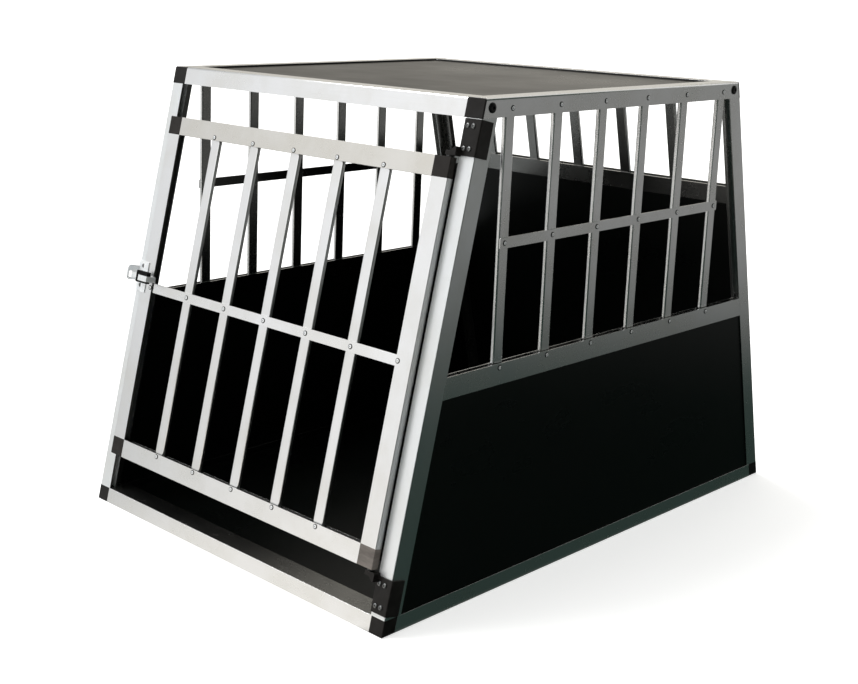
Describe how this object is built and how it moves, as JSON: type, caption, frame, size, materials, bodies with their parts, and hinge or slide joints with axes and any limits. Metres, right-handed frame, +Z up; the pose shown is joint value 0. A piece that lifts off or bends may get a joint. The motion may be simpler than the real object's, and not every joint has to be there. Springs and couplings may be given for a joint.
{
  "type": "kennel cage",
  "caption": "Car-boot kennel cage with sloping ends: riveted aluminium frame, black lower panels, barred upper walls, and a barred hinged front door with a sliding latch.",
  "frame": {"origin": "middle of the footprint, on the ground", "axes": "+Z up, +Y from the door towards the back of the cage, +X to the right of someone facing the door"},
  "size_m": [0.6547, 0.954, 0.697],
  "materials": {
    "aluminium": "satin anodised",
    "black_plastic": "fine moulded",
    "nylon": "black",
    "black_board": "black film-faced board",
    "roof_board": "dark grey film-faced board",
    "seal_rubber": "matt",
    "rivet_alloy": "bright",
    "zinc_steel": "zinc plated",
    "black_steel": "blackened"
  },
  "bodies": {
    "frame": {"base_corner_front_left": "black_plastic", "base_corner_front_right": "black_plastic", "base_corner_rear_left": "black_plastic", "base_corner_rear_right": "black_plastic", "base_front_rail": "aluminium", "base_left_rail": "aluminium", "base_rear_rail": "aluminium", "base_right_rail": "aluminium", "floor_panel": "black_board", "frame_bolts": "black_steel", "frame_rivets": "rivet_alloy", "hinge_pins": "zinc_steel", "hinge_screws": "zinc_steel", "keeper_screws": "zinc_steel", "latch_keeper": "zinc_steel", "left_bars": "aluminium", "left_panel": "black_board", "left_strip": "aluminium", "lower_hinge_bracket": "black_plastic", "mid_left_rail": "aluminium", "mid_rear_rail": "aluminium", "mid_right_rail": "aluminium", "post_front_left": "aluminium", "post_front_right": "aluminium", "post_joiners": "black_plastic", "post_rear_left": "aluminium", "post_rear_right": "aluminium", "rear_bars": "aluminium", "rear_panel": "black_board", "right_bars": "aluminium", "right_panel": "black_board", "right_strip": "aluminium", "roof_panel": "roof_board", "roof_seal": "seal_rubber", "top_cap_front_left": "black_plastic", "top_cap_front_right": "black_plastic", "top_cap_rear_left": "black_plastic", "top_cap_rear_right": "black_plastic", "top_front_rail": "aluminium", "top_left_rail": "aluminium", "top_rear_rail": "aluminium", "top_right_rail": "aluminium", "upper_hinge_bracket": "black_plastic"},
    "door": {"door_bars": "aluminium", "door_bottom_rail": "aluminium", "door_cap_bottom_left": "black_plastic", "door_cap_bottom_right": "black_plastic", "door_cap_top_left": "black_plastic", "door_cap_top_right": "black_plastic", "door_left_stile": "aluminium", "door_right_stile": "aluminium", "door_rivets": "rivet_alloy", "door_strip": "aluminium", "door_top_rail": "aluminium", "hinge_washers": "nylon", "latch_guide": "zinc_steel"},
    "latch": {"latch_bolt": "zinc_steel", "latch_grip": "black_plastic"}
  },
  "joints": [
    {"name": "door_hinge", "type": "hinge", "parent": "frame", "child": "door", "pos_m": [0.29, -0.40303, 0.35238], "axis": [0, 0.2231, 0.9748], "range_deg": [0, 110]},
    {"name": "latch_slide", "type": "slide", "parent": "door", "child": "latch", "axis": [-1, 0, 0], "range_m": [0, 0.012]}
  ]
}
